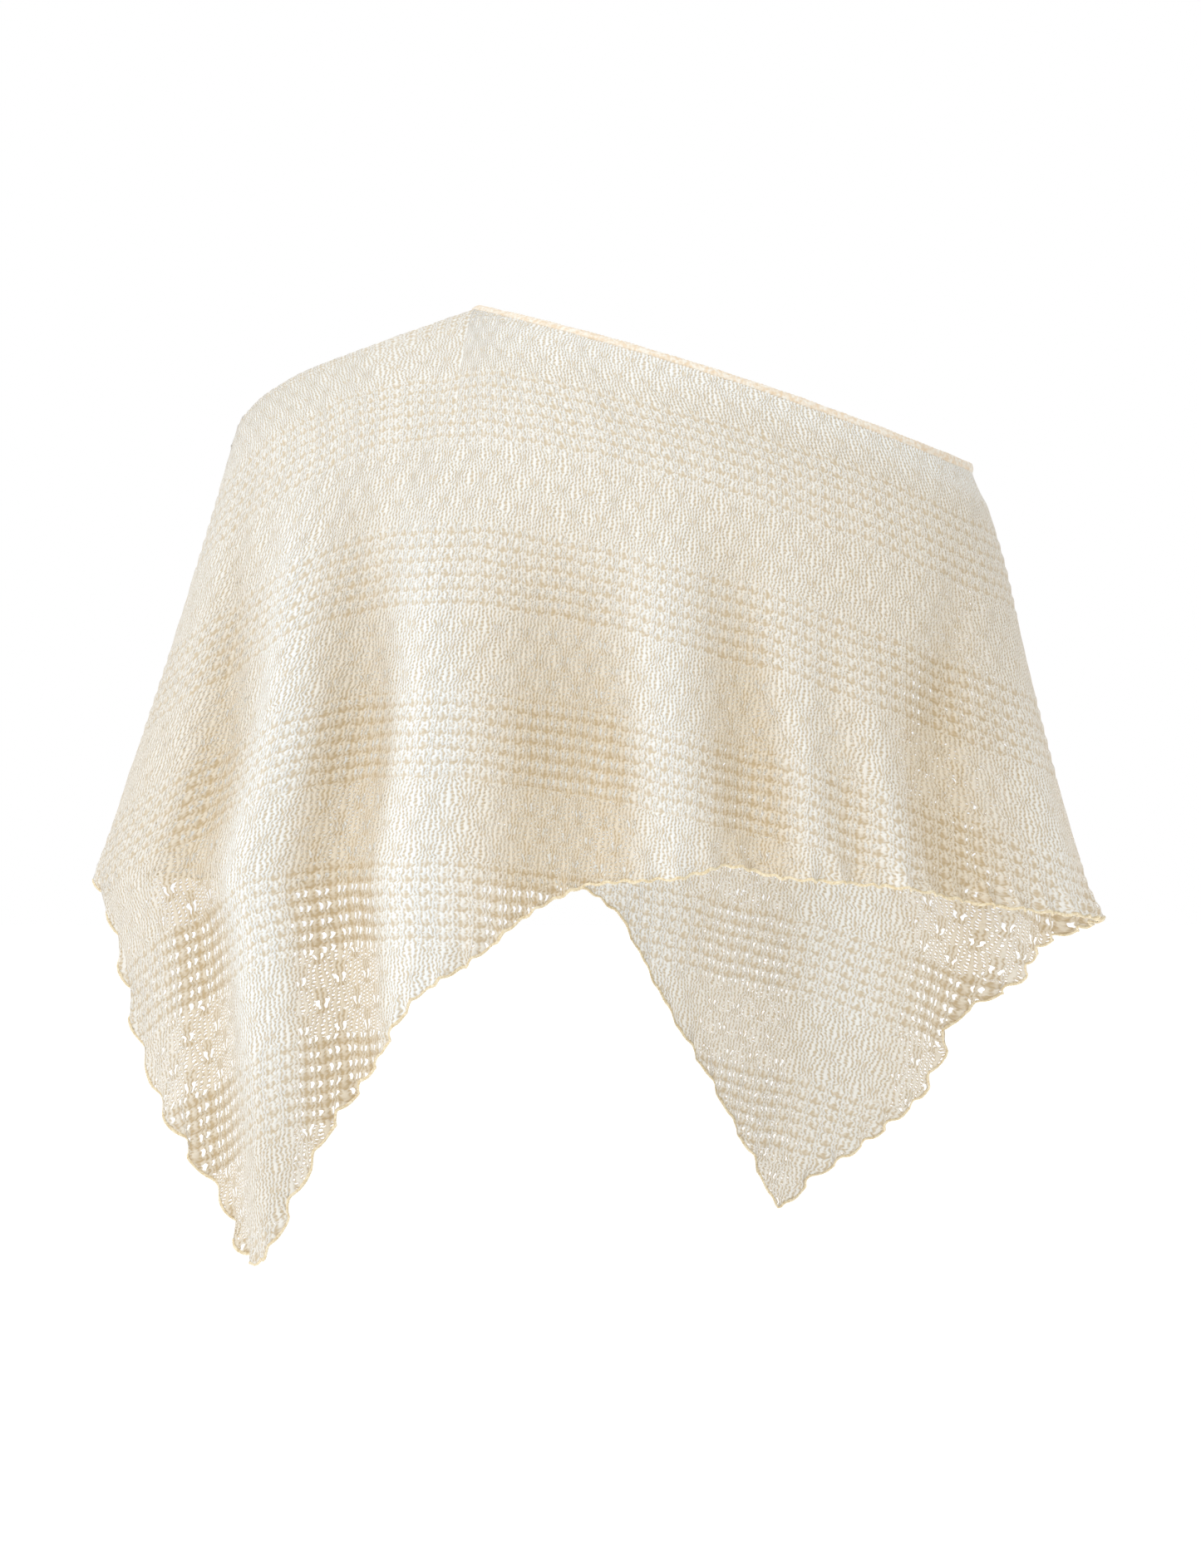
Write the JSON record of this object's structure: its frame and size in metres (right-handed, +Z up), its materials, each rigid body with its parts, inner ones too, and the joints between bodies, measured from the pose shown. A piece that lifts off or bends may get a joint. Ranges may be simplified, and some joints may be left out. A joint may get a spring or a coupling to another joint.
{
  "type": "lace knit poncho",
  "caption": "Loose lace knit poncho with a slanted off-shoulder neck opening, pointed front and back corners and a scalloped hem, shown worn and hollow.",
  "frame": {"origin": "on the wearer's axis, level with the point where the neck opening meets the shoulder, where the wearer's shoulders hold the garment up", "axes": "+X to the viewer's right (the wearer's left), +Y to the wearer's back, +Z up"},
  "size_m": [0.6083, 0.3463, 0.5679],
  "materials": {
    "lace_knit": "cream fine gauge lace knit, soft and matt",
    "hem_thread": "warm cream overlock thread, matt",
    "neck_binding": "turned and stitched knit edge, warm cream"
  },
  "bodies": {
    "root": {"front_panel": "lace_knit", "back_panel": "lace_knit", "front_hem_edge": "hem_thread", "back_hem_edge": "hem_thread", "neck_edge": "neck_binding"}
  },
  "joints": []
}
